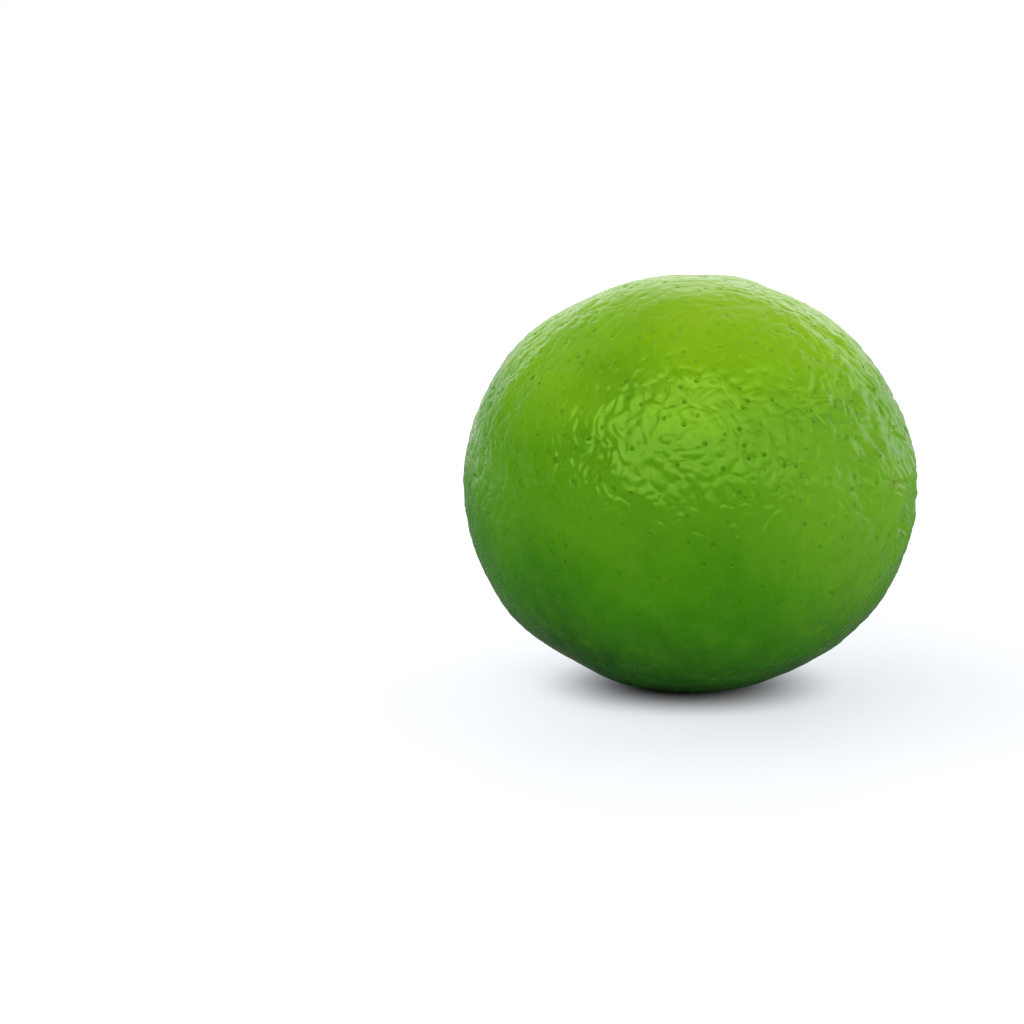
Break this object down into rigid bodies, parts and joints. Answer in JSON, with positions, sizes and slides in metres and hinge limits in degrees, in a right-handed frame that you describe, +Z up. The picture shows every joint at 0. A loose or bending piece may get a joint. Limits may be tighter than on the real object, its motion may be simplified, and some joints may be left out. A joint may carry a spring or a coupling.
{
  "type": "whole lime",
  "caption": "Whole green lime at rest on its side, with a low wrinkled nipple at the blossom end and a woody stalk button in a shallow hollow at the stem end.",
  "frame": {"origin": "on the resting plane, under the middle of the lime's box", "axes": "+X along the long axis towards the blossom end, +Z up from the small flat spot that the lime rests on, +Y completes a right-handed frame"},
  "size_m": [0.0621, 0.0544, 0.0532],
  "materials": {
    "rind": "waxy green citrus skin with fine pits and a soft gloss",
    "stem_button": "dry brown-green woody flower cup with a pale cut stub"
  },
  "bodies": {
    "root": {"lime_fruit": "rind", "stem_button": "stem_button"}
  },
  "joints": []
}
